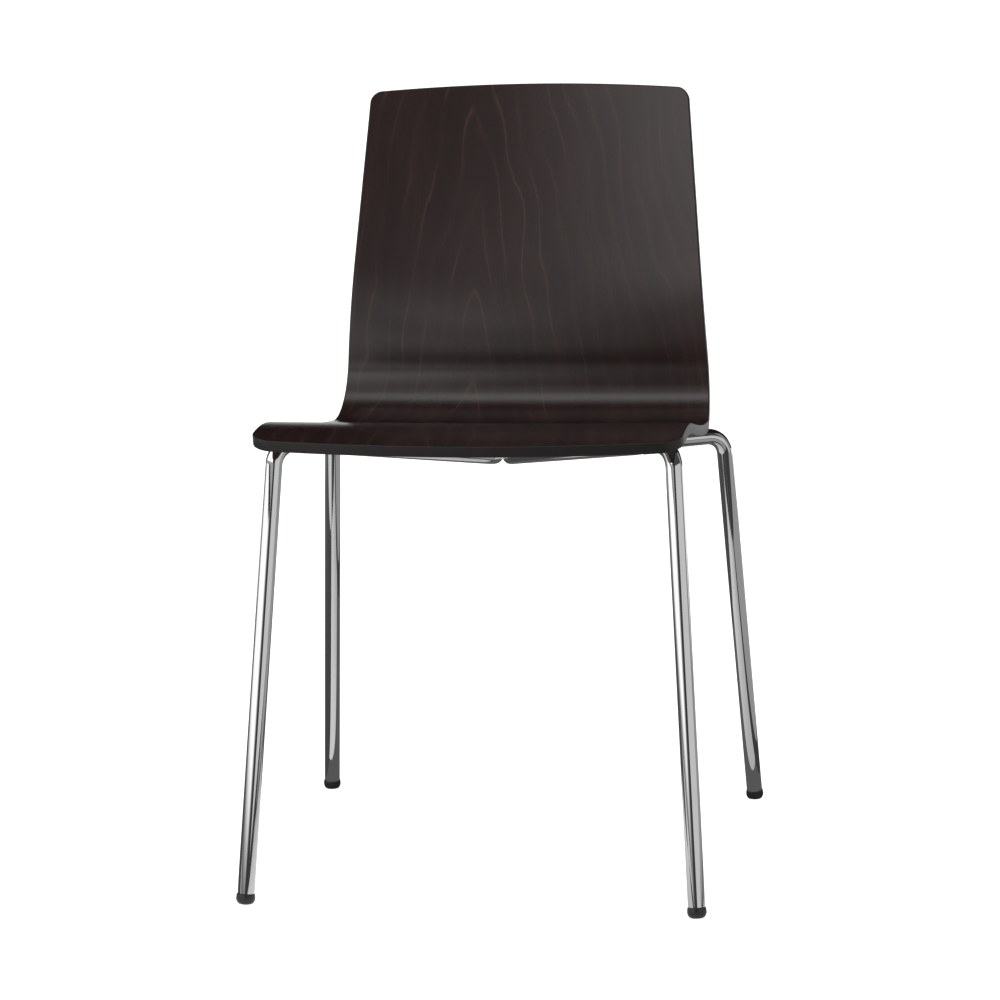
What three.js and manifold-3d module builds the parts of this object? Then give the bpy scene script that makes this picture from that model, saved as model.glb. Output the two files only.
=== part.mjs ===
// Stacking chair: a bent plywood shell screwed down on two bent steel tubes.
// Millimetres, +Z up, floor at z = 0. The sitter faces -Y; left and right are as seen from the front.

import * as THREE from 'three';
import { mergeVertices } from 'three/addons/utils/BufferGeometryUtils.js';
import Module from 'manifold-3d';

const wasm = await Module();
wasm.setup();

// Driving dimensions -----------------------------------------------------------

// Clearance left between two pieces that touch on the real chair.
const GAP = 0.3;

// Shell seen from the side: five arcs end to end, from the front edge to the top edge.
// Slopes are in degrees above level, so 90 is upright.
const SHELL_THICKNESS = 12;
const FRONT_EDGE_Y = -224.2;
const FRONT_EDGE_HEIGHT = 485.6;
const FRONT_EDGE_SLOPE = 14.9;
const LIP_LENGTH = 108;
const SEAT_FRONT_SLOPE = -9.85;
const SEAT_LENGTH = 243;
const SEAT_REAR_SLOPE = -4.47;
const BEND_RADIUS = 58.1;
const LUMBAR_START_SLOPE = 93.6;
const LUMBAR_LENGTH = 117.8;
const BACK_START_SLOPE = 77.7;
const BACK_LENGTH = 193.1;
const BACK_END_SLOPE = 77.92;

// Shell seen square on: it narrows from the front edge to the top edge.
const FRONT_EDGE_WIDTH = 445.2;
const SEAT_END_WIDTH = 428.9;
const BACK_START_WIDTH = 398.1;
const TOP_EDGE_WIDTH = 366.8;
const FRONT_CORNER_RADIUS = 23.3;
const TOP_CORNER_RADIUS = 12.5;
const FRONT_EDGE_BOW = 13.1;
const TOP_EDGE_ARCH = 9.9;

// How far the middle of the shell dips below the line between its side edges.
const SEAT_FRONT_DIP = 1.1;
const SEAT_REAR_DIP = 1.7;
const BACK_START_DIP = 11.6;
const BACK_END_DIP = 14.6;

// Screw positions: distance back along the shell from its front edge, and side to side.
const FRONT_SCREW_BACK = 92;
const FRONT_SCREW_SPACING = 344;
const REAR_SCREW_BACK = 343;
const REAR_SCREW_SPACING = 260;

// Each tube runs foot, knee, arm, waist, arm, knee, foot. The arms pass under the screws.
const TUBE_DIAMETER = 18;
const TUBE_WALL = 2;
const KNEE_RADIUS = 24;
const WAIST_RADIUS = 30.3;
const WAIST_BACK = 250.6;
const WAIST_DROP = 22.9;
const FRONT_KNEE_BEYOND_SCREW = 48.3;
const REAR_KNEE_BEYOND_SCREW = 114.7;
const FRONT_FEET_SPACING = 473.2;
const REAR_FEET_SPACING = 508.2;
const FEET_DEPTH = 484.75;

// Saddle-shaped spacers between the arms and the shell.
const SPACER_THICKNESS = 2.5;
const SPACER_LENGTH = 34;
const SPACER_WALL = 2.6;

// Screws, seated inside the arms, and the threaded inserts that they turn into.
const SCREW_DIAMETER = 6;
const SCREW_HEAD_DIAMETER = 9.5;
const SCREW_HEAD_HEIGHT = 3.3;
const SCREW_SOCKET_WIDTH = 4;
const SCREW_SOCKET_DEPTH = 2;
const INSERT_DIAMETER = 10;
const INSERT_LENGTH = 8.5;

// Foot caps, and the bridge that ties the tubes together at the waist.
const CAP_DIAMETER = 20.2;
const CAP_HEIGHT = 10.5;
const CAP_SOLE_DIAMETER = 9;
const CAP_WEAR = 0.8;
const CAP_STEM_LENGTH = 18;
const BRIDGE_LENGTH = 46;
const BRIDGE_WIDTH = 30;
const BRIDGE_THICKNESS = 3;

// Facets: sides of the round sections, and the longest turn between two steps of a bend.
const TUBE_SIDES = 20;
const ROUND_SIDES = 24;
const BEND_STEP = THREE.MathUtils.degToRad(10);

// Sizes that follow from those above.
const TUBE_RADIUS = TUBE_DIAMETER / 2;
const BORE_RADIUS = TUBE_RADIUS - TUBE_WALL;
const SCREW_RADIUS = SCREW_DIAMETER / 2;
const SCREW_HOLE_RADIUS = SCREW_RADIUS + GAP;

const UP = new THREE.Vector3(0, 0, 1);

// Materials ----------------------------------------------------------------------

const veneer = new THREE.MeshStandardMaterial({ color: 0x463a36, roughness: 0.42, metalness: 0 });
const chrome = new THREE.MeshStandardMaterial({ color: 0xdfe0e0, roughness: 0.06, metalness: 1 });
const plastic = new THREE.MeshStandardMaterial({ color: 0x1c1c1c, roughness: 0.55, metalness: 0 });
const zinc = new THREE.MeshStandardMaterial({ color: 0xb4b6b8, roughness: 0.3, metalness: 1 });

// Tools --------------------------------------------------------------------------

// A closed geometry as a manifold-3d solid.
function solidOf(geometry) {
  const bare = new THREE.BufferGeometry();
  bare.setAttribute('position', geometry.getAttribute('position').clone());
  bare.setIndex(geometry.getIndex());
  const merged = mergeVertices(bare, 1e-4);
  const mesh = new wasm.Mesh({
    numProp: 3,
    vertProperties: Float32Array.from(merged.getAttribute('position').array),
    triVerts: Uint32Array.from(merged.getIndex().array),
  });
  return new wasm.Manifold(mesh);
}

// A manifold-3d solid as a geometry.
function geometryOf(solid) {
  const mesh = solid.getMesh();
  const geometry = new THREE.BufferGeometry();
  geometry.setAttribute('position', new THREE.BufferAttribute(mesh.vertProperties, 3));
  geometry.setIndex(new THREE.BufferAttribute(mesh.triVerts, 1));
  geometry.computeVertexNormals();
  return geometry;
}

// Cuts solids that stand in the chair's frame out of a mesh that is already in its place.
function carve(mesh, ...cutters) {
  mesh.updateMatrix();
  let solid = solidOf(mesh.geometry.clone().applyMatrix4(mesh.matrix));
  for (const cutter of cutters) {
    solid = solid.subtract(cutter);
  }
  mesh.geometry = geometryOf(solid).applyMatrix4(mesh.matrix.clone().invert());
  return mesh;
}

function named(name, geometry, material) {
  const mesh = new THREE.Mesh(geometry, material);
  mesh.name = name;
  return mesh;
}

// A profile of [radius, height] pairs turned about +Z.
function turned(profile) {
  const points = profile.map(([radius, height]) => new THREE.Vector2(radius, height));
  return new THREE.LatheGeometry(points, ROUND_SIDES).rotateX(Math.PI / 2);
}

// A straight rod between two points.
function rod(from, to, radius, sides = ROUND_SIDES) {
  const along = to.clone().sub(from);
  const middle = from.clone().lerp(to, 0.5);
  const turn = new THREE.Quaternion().setFromUnitVectors(UP, along.clone().normalize());
  return new THREE.CylinderGeometry(radius, radius, along.length(), sides)
    .rotateX(Math.PI / 2)
    .applyQuaternion(turn)
    .translate(middle.x, middle.y, middle.z);
}

// A flat block with rounded upright edges, its underside centred on the origin.
function roundedBlock(length, width, height, radius) {
  const x = length / 2 - radius;
  const y = width / 2 - radius;
  const quarter = Math.PI / 2;
  const outline = new THREE.Shape();
  outline.absarc(x, y, radius, 0, quarter);
  outline.absarc(-x, y, radius, quarter, 2 * quarter);
  outline.absarc(-x, -y, radius, 2 * quarter, 3 * quarter);
  outline.absarc(x, -y, radius, 3 * quarter, 4 * quarter);
  return new THREE.ExtrudeGeometry(outline, { depth: height, bevelEnabled: false, curveSegments: 4 });
}

// Shell surface ------------------------------------------------------------------

function arc(length, startSlope, endSlope, steps) {
  const from = THREE.MathUtils.degToRad(startSlope);
  const to = THREE.MathUtils.degToRad(endSlope);
  return { length, from, to, steps };
}

const BEND_LENGTH = BEND_RADIUS * THREE.MathUtils.degToRad(LUMBAR_START_SLOPE - SEAT_REAR_SLOPE);
const shellArcs = [
  arc(LIP_LENGTH, FRONT_EDGE_SLOPE, SEAT_FRONT_SLOPE, 8),
  arc(SEAT_LENGTH, SEAT_FRONT_SLOPE, SEAT_REAR_SLOPE, 8),
  arc(BEND_LENGTH, SEAT_REAR_SLOPE, LUMBAR_START_SLOPE, 14),
  arc(LUMBAR_LENGTH, LUMBAR_START_SLOPE, BACK_START_SLOPE, 6),
  arc(BACK_LENGTH, BACK_START_SLOPE, BACK_END_SLOPE, 6),
];
const SEAT_END = LIP_LENGTH + SEAT_LENGTH;
const LUMBAR_START = SEAT_END + BEND_LENGTH;
const BACK_START = LUMBAR_START + LUMBAR_LENGTH;
const SHELL_LENGTH = BACK_START + BACK_LENGTH;

// Upper face seen from the side, at a distance along it; straight beyond the shell's two ends.
function sideView(distance) {
  const place = { y: FRONT_EDGE_Y, z: FRONT_EDGE_HEIGHT, slope: shellArcs[0].from };
  let left = distance;
  for (const { length, from, to } of shellArcs) {
    if (left <= 0) {
      break;
    }
    const radius = length / (to - from);
    place.slope = from + Math.min(left, length) / radius;
    place.y += radius * (Math.sin(place.slope) - Math.sin(from));
    place.z += radius * (Math.cos(from) - Math.cos(place.slope));
    left -= length;
  }
  const beyond = Math.min(distance, 0) + Math.max(distance - SHELL_LENGTH, 0);
  place.y += beyond * Math.cos(place.slope);
  place.z += beyond * Math.sin(place.slope);
  return place;
}

// Half the shell's width, on the cubic through the four widths.
const WIDTHS = [
  [0, FRONT_EDGE_WIDTH],
  [SEAT_END, SEAT_END_WIDTH],
  [BACK_START, BACK_START_WIDTH],
  [SHELL_LENGTH, TOP_EDGE_WIDTH],
];

function halfWidth(distance) {
  let half = 0;
  for (const [here, width] of WIDTHS) {
    let share = 1;
    for (const [other] of WIDTHS) {
      share *= other === here ? 1 : (distance - other) / (here - other);
    }
    half += (share * width) / 2;
  }
  return half;
}

// Dip of the middle line, eased from one part of the shell to the next.
function dipAt(distance) {
  const ease = THREE.MathUtils.smoothstep;
  return SEAT_FRONT_DIP
    + (SEAT_REAR_DIP - SEAT_FRONT_DIP) * ease(distance, 0, SEAT_END)
    + (BACK_START_DIP - SEAT_REAR_DIP) * ease(distance, LUMBAR_START, BACK_START)
    + (BACK_END_DIP - BACK_START_DIP) * ease(distance, BACK_START, SHELL_LENGTH);
}

// A point of the shell: distance along it, side from -1 to 1, and depth below its upper face.
function shellPoint(distance, side, depth) {
  const { y, z, slope } = sideView(distance);
  const below = depth + dipAt(distance) * (1 - side * side);
  const x = halfWidth(distance) * side;
  return new THREE.Vector3(x, y + below * Math.sin(slope), z - below * Math.cos(slope));
}

// Unit normal of the shell's underside, pointing into the sheet.
function undersideNormal(distance, side) {
  const pointAt = (alongStep, sideStep) => (
    shellPoint(distance + alongStep, side + sideStep, SHELL_THICKNESS)
  );
  const across = pointAt(0, 0.01).sub(pointAt(0, -0.01));
  const along = pointAt(1, 0).sub(pointAt(-1, 0));
  return across.cross(along).normalize();
}

// How far a rounded corner cuts back the end of the shell.
function cornerCut(side, radius, half) {
  const past = Math.max(0, Math.abs(side) * half - half + radius);
  return radius - Math.sqrt(Math.max(0, radius * radius - past * past));
}

// Lines that the mesh follows, from side to side and from front to top.
function sideLines() {
  const cornerSteps = 7;
  const middleSteps = 14;
  const cornerShare = FRONT_CORNER_RADIUS / halfWidth(0);
  const right = [];
  for (let i = 0; i <= middleSteps / 2; i += 1) {
    right.push(((1 - cornerShare) * i) / (middleSteps / 2));
  }
  for (let i = 1; i <= cornerSteps; i += 1) {
    right.push(1 - cornerShare * (1 - Math.sin((Math.PI / 2) * (i / cornerSteps))));
  }
  const left = right.slice(1).reverse().map((line) => -line);
  return [...left, ...right];
}

function lengthLines() {
  const lines = [0];
  for (const { length, steps } of shellArcs) {
    const start = lines.at(-1);
    for (let i = 1; i <= steps; i += 1) {
      lines.push(start + (length * i) / steps);
    }
  }
  return lines;
}

// The sheet as a bent block, with its underside lowered by some extra to make a cutter.
function shellGeometry(extra) {
  const sides = sideLines();
  const lengths = lengthLines();
  const fade = 3 * FRONT_CORNER_RADIUS;
  const geometry = new THREE.BoxGeometry(1, 1, 1, sides.length - 1, lengths.length - 1, 1);
  const position = geometry.getAttribute('position');
  for (let i = 0; i < position.count; i += 1) {
    const side = sides[Math.round((position.getX(i) + 0.5) * (sides.length - 1))];
    const line = lengths[Math.round((position.getY(i) + 0.5) * (lengths.length - 1))];
    const bulge = 1 - side * side;
    const front = cornerCut(side, FRONT_CORNER_RADIUS, halfWidth(0)) - FRONT_EDGE_BOW * bulge;
    const top = TOP_EDGE_ARCH * bulge - cornerCut(side, TOP_CORNER_RADIUS, halfWidth(SHELL_LENGTH));
    const distance = line
      + front * Math.max(0, 1 - line / fade)
      + top * Math.max(0, 1 - (SHELL_LENGTH - line) / fade);
    const depth = position.getZ(i) > 0 ? 0 : SHELL_THICKNESS + extra;
    const { x, y, z } = shellPoint(distance, side, depth);
    position.setXYZ(i, x, y, z);
  }
  geometry.computeVertexNormals();
  return geometry;
}

// Places -------------------------------------------------------------------------

const ROWS = {
  front: {
    screwBack: FRONT_SCREW_BACK,
    screwSpacing: FRONT_SCREW_SPACING,
    kneeBeyondScrew: FRONT_KNEE_BEYOND_SCREW,
    feetSpacing: FRONT_FEET_SPACING,
    footY: -FEET_DEPTH / 2,
  },
  rear: {
    screwBack: REAR_SCREW_BACK,
    screwSpacing: REAR_SCREW_SPACING,
    kneeBeyondScrew: REAR_KNEE_BEYOND_SCREW,
    feetSpacing: REAR_FEET_SPACING,
    footY: FEET_DEPTH / 2,
  },
};

// One corner of the chair: its screw, the arm under the screw, and its knee and leg.
function layCorner(row, hand, waist) {
  const { screwBack, screwSpacing, kneeBeyondScrew, feetSpacing, footY } = ROWS[row];
  const side = (hand * screwSpacing) / 2 / halfWidth(screwBack);
  const underside = shellPoint(screwBack, side, SHELL_THICKNESS);
  const screwUp = undersideNormal(screwBack, side);
  const armCentre = underside.clone().addScaledVector(screwUp, -(SPACER_THICKNESS + TUBE_RADIUS));
  const armOut = armCentre.clone().sub(waist).normalize();
  const knee = armCentre.clone().addScaledVector(armOut, kneeBeyondScrew);
  const foot = new THREE.Vector3((hand * feetSpacing) / 2, footY, 0);
  const legUp = knee.clone().sub(foot).normalize();
  return { underside, screwUp, armCentre, armOut, knee, foot, legUp };
}

// The arc that rounds one corner of a bent line.
function cornerArc(before, corner, after, radius) {
  const ahead = corner.clone().sub(before).normalize();
  const onward = after.clone().sub(corner).normalize();
  const turn = ahead.angleTo(onward);
  const start = corner.clone().addScaledVector(ahead, -radius * Math.tan(turn / 2));
  const inward = onward.addScaledVector(ahead, -onward.dot(ahead)).normalize();
  const centre = start.addScaledVector(inward, radius);
  return { ahead, inward, centre, turn, radius };
}

// One tube: its waist is moved sideways until the bend there just clears the middle of the chair.
function layTube(hand) {
  const shellMiddle = shellPoint(WAIST_BACK, 0, SHELL_THICKNESS);
  const waist = new THREE.Vector3(0, shellMiddle.y, shellMiddle.z - WAIST_DROP);
  let front;
  let rear;
  for (let round = 0; round < 8; round += 1) {
    front = layCorner('front', hand, waist);
    rear = layCorner('rear', hand, waist);
    const { ahead, inward, centre, radius } = cornerArc(front.knee, waist, rear.knee, WAIST_RADIUS);
    const plane = ahead.clone().cross(inward);
    const nearest = hand * centre.x - radius * Math.sqrt(1 - plane.x * plane.x);
    waist.x += hand * (TUBE_RADIUS + GAP / 2 - nearest);
  }
  return { hand, waist, front, rear };
}

const tubes = { left: layTube(-1), right: layTube(1) };

// Tubes --------------------------------------------------------------------------

// Points and directions along a tube: none on the straights, many in the bends.
function tubeStations({ waist, front, rear }) {
  const endOf = ({ foot, legUp }) => foot.clone().addScaledVector(legUp, CAP_HEIGHT + GAP);
  const line = [endOf(front), front.knee, waist, rear.knee, endOf(rear)];
  const radii = [KNEE_RADIUS, WAIST_RADIUS, KNEE_RADIUS];
  const stations = [{ point: line[0], direction: front.legUp.clone() }];
  radii.forEach((bendRadius, i) => {
    const { ahead, inward, centre, turn, radius } = cornerArc(line[i], line[i + 1], line[i + 2], bendRadius);
    const steps = Math.ceil(turn / BEND_STEP);
    for (let k = 0; k <= steps; k += 1) {
      const cos = Math.cos((turn * k) / steps);
      const sin = Math.sin((turn * k) / steps);
      stations.push({
        point: centre.clone().addScaledVector(inward, -radius * cos).addScaledVector(ahead, radius * sin),
        direction: ahead.clone().multiplyScalar(cos).addScaledVector(inward, sin),
      });
    }
  });
  stations.push({ point: line[4], direction: rear.legUp.clone().negate() });
  return stations;
}

// A curve that visits one station per step.
class StationCurve extends THREE.Curve {
  constructor(stations) {
    super();
    this.stations = stations;
  }

  between(t, key, target) {
    const at = t * (this.stations.length - 1);
    const index = Math.min(Math.floor(at), this.stations.length - 2);
    return target.lerpVectors(this.stations[index][key], this.stations[index + 1][key], at - index);
  }

  getPoint(t, target = new THREE.Vector3()) {
    return this.between(t, 'point', target);
  }

  getTangent(t, target = new THREE.Vector3()) {
    return this.between(t, 'direction', target).normalize();
  }

  getUtoTmapping(u) {
    return u;
  }
}

function sweep(stations, section) {
  return new THREE.ExtrudeGeometry(section, {
    extrudePath: new StationCurve(stations),
    steps: stations.length - 1,
    curveSegments: TUBE_SIDES / 2,
  });
}

function frameTube(name, tube) {
  const section = new THREE.Shape().absarc(0, 0, TUBE_RADIUS, 0, 2 * Math.PI);
  section.holes.push(new THREE.Path().absarc(0, 0, BORE_RADIUS, 0, 2 * Math.PI));
  const holes = [tube.front, tube.rear].flatMap(({ armCentre, screwUp }) => {
    const below = armCentre.clone().addScaledVector(screwUp, -TUBE_DIAMETER);
    const above = armCentre.clone().addScaledVector(screwUp, TUBE_DIAMETER);
    const headHole = rod(below, armCentre, SCREW_HEAD_DIAMETER / 2 + GAP);
    return [solidOf(rod(below, above, SCREW_HOLE_RADIUS)), solidOf(headHole)];
  });
  return carve(named(name, sweep(tubeStations(tube), section), chrome), ...holes);
}

// A tube grown by the clearance, to cut the pieces that seat on it.
function tubeCutter(tube) {
  const section = new THREE.Shape().absarc(0, 0, TUBE_RADIUS + GAP, 0, 2 * Math.PI);
  return solidOf(sweep(tubeStations(tube), section));
}

// Bridge laid on both tubes where they pass back to back, its underside shaped to them.
function waistBridge(cutters) {
  const { waist, front, rear } = tubes.right;
  const along = rear.armOut.clone().sub(front.armOut).setX(0).normalize();
  const up = new THREE.Vector3(1, 0, 0).cross(along);
  const height = TUBE_RADIUS + BRIDGE_THICKNESS;
  const blank = roundedBlock(BRIDGE_WIDTH, BRIDGE_LENGTH, height, BRIDGE_THICKNESS);
  const bridge = named('waist_bridge', blank, chrome);
  bridge.position.set(0, waist.y, waist.z);
  bridge.quaternion.setFromRotationMatrix(
    new THREE.Matrix4().makeBasis(new THREE.Vector3(1, 0, 0), along, up),
  );
  return carve(bridge, ...cutters);
}

// Seat and its fixings -------------------------------------------------------------

function seatShell(places) {
  const pockets = places.map(({ underside, screwUp }) => {
    const mouth = underside.clone().addScaledVector(screwUp, -SPACER_THICKNESS);
    const bottom = underside.clone().addScaledVector(screwUp, INSERT_LENGTH + GAP);
    return solidOf(rod(mouth, bottom, INSERT_DIAMETER / 2 + GAP));
  });
  return carve(named('seat_shell', shellGeometry(0), veneer), ...pockets);
}

// Puts a piece that is turned about +Z on a screw's axis, level with the shell's underside.
function onScrewAxis(mesh, { underside, screwUp }) {
  mesh.position.copy(underside);
  mesh.quaternion.setFromUnitVectors(UP, screwUp);
  return mesh;
}

function threadedInsert(name, place) {
  const outer = INSERT_DIAMETER / 2;
  const profile = [
    [SCREW_HOLE_RADIUS, 0],
    [outer, 0],
    [outer, INSERT_LENGTH],
    [SCREW_HOLE_RADIUS, INSERT_LENGTH],
    [SCREW_HOLE_RADIUS, 0],
  ];
  return onScrewAxis(named(name, turned(profile), zinc), place);
}

// Button-head screw with a six-sided socket, its head bearing under the top of the arm's bore.
function screw(name, place) {
  const headRadius = SCREW_HEAD_DIAMETER / 2;
  const boreFlat = BORE_RADIUS * Math.cos(Math.PI / TUBE_SIDES);
  const boreTop = Math.sqrt(boreFlat * boreFlat - headRadius * headRadius);
  const headTop = boreTop - TUBE_RADIUS - SPACER_THICKNESS - GAP;
  const headBottom = headTop - SCREW_HEAD_HEIGHT;
  const crown = SCREW_SOCKET_WIDTH * 0.8;
  const domeHeight = SCREW_HEAD_HEIGHT * 0.75;
  const chamfer = SCREW_RADIUS / 3;
  const dome = [0, 1, 2, 3].map((i) => {
    const angle = (i / 3) * (Math.PI / 2);
    const radius = crown + (headRadius - crown) * Math.sin(angle);
    return [radius, headBottom + domeHeight * (1 - Math.cos(angle))];
  });
  const profile = [
    [0, headBottom],
    ...dome,
    [headRadius, headTop],
    [SCREW_RADIUS, headTop],
    [SCREW_RADIUS, INSERT_LENGTH - chamfer],
    [SCREW_RADIUS - chamfer, INSERT_LENGTH],
    [0, INSERT_LENGTH],
  ];
  const socketMouth = new THREE.Vector3(0, 0, headBottom - SCREW_SOCKET_DEPTH);
  const socketEnd = new THREE.Vector3(0, 0, headBottom + SCREW_SOCKET_DEPTH);
  const socket = rod(socketMouth, socketEnd, SCREW_SOCKET_WIDTH / Math.sqrt(3), 6);
  return onScrewAxis(carve(named(name, turned(profile), zinc), solidOf(socket)), place);
}

// Spacer that hugs the upper half of its arm and fills the space up to the shell.
function spacer(name, place, cutters) {
  const { underside, screwUp, armCentre, armOut } = place;
  const width = TUBE_DIAMETER + 2 * (GAP + SPACER_WALL);
  const height = TUBE_RADIUS + 2 * SPACER_THICKNESS;
  const mesh = named(name, roundedBlock(SPACER_LENGTH, width, height, SPACER_WALL), plastic);
  const along = armOut.clone().addScaledVector(screwUp, -armOut.dot(screwUp)).normalize();
  const across = screwUp.clone().cross(along);
  mesh.quaternion.setFromRotationMatrix(new THREE.Matrix4().makeBasis(along, across, screwUp));
  mesh.position.copy(armCentre);
  const holeEnd = underside.clone().addScaledVector(screwUp, SPACER_THICKNESS);
  return carve(mesh, ...cutters, solidOf(rod(armCentre, holeEnd, SCREW_HOLE_RADIUS)));
}

// Feet -----------------------------------------------------------------------------

// Round cap plugged into the end of a leg, worn flat where it stands on the floor.
function footCap(name, { foot, legUp }) {
  const radius = CAP_DIAMETER / 2;
  const sole = CAP_SOLE_DIAMETER / 2;
  const stem = BORE_RADIUS - GAP;
  const stemTop = CAP_HEIGHT + CAP_STEM_LENGTH;
  const domeHeight = CAP_HEIGHT * 0.6 + CAP_WEAR;
  const dome = [0, 1, 2, 3, 4, 5].map((i) => {
    const angle = (i / 5) * (Math.PI / 2);
    return [sole + (radius - sole) * Math.sin(angle), domeHeight * (1 - Math.cos(angle)) - CAP_WEAR];
  });
  const profile = [
    [0, -CAP_WEAR],
    ...dome,
    [radius, CAP_HEIGHT - 1],
    [radius - 1, CAP_HEIGHT],
    [stem, CAP_HEIGHT],
    [stem, stemTop - 1],
    [stem - 1, stemTop],
    [0, stemTop],
  ];
  const tilt = new THREE.Quaternion().setFromUnitVectors(UP, legUp);
  const cap = named(name, turned(profile).applyQuaternion(tilt), plastic);
  const floor = new THREE.BoxGeometry(2 * CAP_DIAMETER, 2 * CAP_DIAMETER, CAP_HEIGHT);
  carve(cap, solidOf(floor.translate(0, 0, -CAP_HEIGHT / 2)));
  cap.position.copy(foot);
  return cap;
}

// Chair ----------------------------------------------------------------------------

function stackingChair() {
  const chair = new THREE.Group();
  const shellCutter = solidOf(shellGeometry(GAP));
  const tubeCutters = [];
  const places = [];
  for (const [handName, tube] of Object.entries(tubes)) {
    const cutter = tubeCutter(tube);
    tubeCutters.push(cutter);
    chair.add(frameTube(`frame_tube_${handName}`, tube));
    for (const row of Object.keys(ROWS)) {
      const place = tube[row];
      const corner = `${row}_${handName}`;
      places.push(place);
      chair.add(spacer(`spacer_${corner}`, place, [cutter, shellCutter]));
      chair.add(screw(`screw_${corner}`, place));
      chair.add(threadedInsert(`threaded_insert_${corner}`, place));
      chair.add(footCap(`foot_cap_${corner}`, place));
    }
  }
  chair.add(waistBridge(tubeCutters));
  chair.add(seatShell(places));

  // The origin is on the floor, at the middle of the chair's bounding box.
  const box = new THREE.Box3().setFromObject(chair, true);
  chair.position.y = -(box.min.y + box.max.y) / 2;
  return chair;
}

export default stackingChair();
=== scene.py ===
"""Stacking chair: a bent plywood shell on two chromed steel tubes, in a light studio.

Metres, +Z up, floor at z = 0. The sitter faces -Y; left and right are as seen from the front.
"""

import math

import bmesh
import bpy
import numpy as np
from mathutils import Matrix, Vector


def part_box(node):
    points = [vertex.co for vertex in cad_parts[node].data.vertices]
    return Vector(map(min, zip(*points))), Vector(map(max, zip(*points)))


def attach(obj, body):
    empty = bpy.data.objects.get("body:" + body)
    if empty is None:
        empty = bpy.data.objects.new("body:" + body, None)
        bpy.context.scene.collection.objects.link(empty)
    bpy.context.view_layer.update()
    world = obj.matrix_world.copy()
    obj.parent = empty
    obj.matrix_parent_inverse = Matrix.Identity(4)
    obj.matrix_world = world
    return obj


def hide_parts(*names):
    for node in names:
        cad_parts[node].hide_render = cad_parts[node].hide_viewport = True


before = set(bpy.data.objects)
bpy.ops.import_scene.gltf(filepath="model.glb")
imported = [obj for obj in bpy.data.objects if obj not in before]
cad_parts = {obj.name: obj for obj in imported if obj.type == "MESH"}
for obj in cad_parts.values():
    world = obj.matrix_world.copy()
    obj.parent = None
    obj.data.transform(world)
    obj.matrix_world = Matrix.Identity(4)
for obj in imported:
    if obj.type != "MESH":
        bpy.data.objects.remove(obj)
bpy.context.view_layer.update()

# Shell seen from the side: arcs end to end, from the front edge to the top edge, each with its
# length and its slopes in degrees above level.
THICKNESS = 0.012
FRONT_EDGE = (-0.2242, 0.4856)
ARCS = (
    (0.108, 14.9, -9.85),
    (0.243, -9.85, -4.47),
    (0.0581 * math.radians(93.6 + 4.47), -4.47, 93.6),
    (0.1178, 93.6, 77.7),
    (0.1931, 77.7, 77.92),
)
ENDS = np.cumsum([0.0] + [length for length, _, _ in ARCS])
SEAT_END, BEND_END, BACK_START, LENGTH = ENDS[2], ENDS[3], ENDS[4], ENDS[5]

# Shell seen square on: widths at four distances along it, and its rounded corners and edges.
WIDTHS = ((0.0, 0.4452), (SEAT_END, 0.4289), (BACK_START, 0.3981), (LENGTH, 0.3668))
FRONT_CORNER = 0.0233
TOP_CORNER = 0.0125
FRONT_BOW = 0.0131
TOP_ARCH = 0.0099
DIPS = (0.0011, 0.0017, 0.0116, 0.0146)
EDGE_ROUND = 0.0011
EDGE_LAND = 0.0006

# Frame: each tube runs foot, knee, arm, waist, arm, knee, foot, and its arms pass under the screws.
TUBE_RADIUS = 0.009
BORE_RADIUS = 0.007
KNEE_BEND = 0.024
WAIST_BEND = 0.0303
WAIST_BACK = 0.2506
WAIST_DROP = 0.0229
FEET_DEPTH = 0.48475
CAP_HEIGHT = 0.0105
SPACER_THICKNESS = 0.0025
CLEARANCE = 0.0003
STAND_OFF = TUBE_RADIUS + SPACER_THICKNESS
ROWS = {
    "front": {
        "screw_back": 0.092,
        "screw_spacing": 0.344,
        "knee_beyond_screw": 0.0483,
        "foot": (0.4732 / 2, -FEET_DEPTH / 2, 0.0),
    },
    "rear": {
        "screw_back": 0.343,
        "screw_spacing": 0.26,
        "knee_beyond_screw": 0.1147,
        "foot": (0.5082 / 2, FEET_DEPTH / 2, 0.0),
    },
}

HANDS = {"left": -1, "right": 1}


# Meshes ---------------------------------------------------------------------------


def new_object(name, mesh):
    piece = bpy.data.objects.new(name, mesh)
    bpy.context.scene.collection.objects.link(piece)
    return piece


def smooth(mesh):
    mesh.polygons.foreach_set("use_smooth", [True] * len(mesh.polygons))


def mesh_from(name, points, faces):
    mesh = bpy.data.meshes.new(name)
    mesh.from_pydata([tuple(p) for p in points], [], faces)
    mesh.update()
    return mesh


def mirrored(point, hand):
    return Vector((hand * point.x, point.y, point.z))


# Shell ----------------------------------------------------------------------------


def side_view(distance):
    """Height line of the upper face: y, z and slope at each distance along the shell."""
    start = math.radians(ARCS[0][1])
    y = np.full(distance.shape, FRONT_EDGE[0])
    z = np.full(distance.shape, FRONT_EDGE[1])
    slope = np.full(distance.shape, start)
    left = distance.copy()
    for length, first, last in ARCS:
        first, last = math.radians(first), math.radians(last)
        radius = length / (last - first)
        angle = first + np.clip(left, 0, length) / radius
        y = y + radius * (np.sin(angle) - math.sin(first))
        z = z + radius * (math.cos(first) - np.cos(angle))
        slope = np.where(left > 0, angle, slope)
        left = left - length
    beyond = np.minimum(distance, 0) + np.maximum(distance - LENGTH, 0)
    return y + beyond * np.cos(slope), z + beyond * np.sin(slope), slope


def half_width(distance):
    total = 0.0
    for here, width in WIDTHS:
        share = 1.0
        for other, _ in WIDTHS:
            if other != here:
                share = share * (distance - other) / (here - other)
        total = total + share * width / 2
    return total


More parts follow.
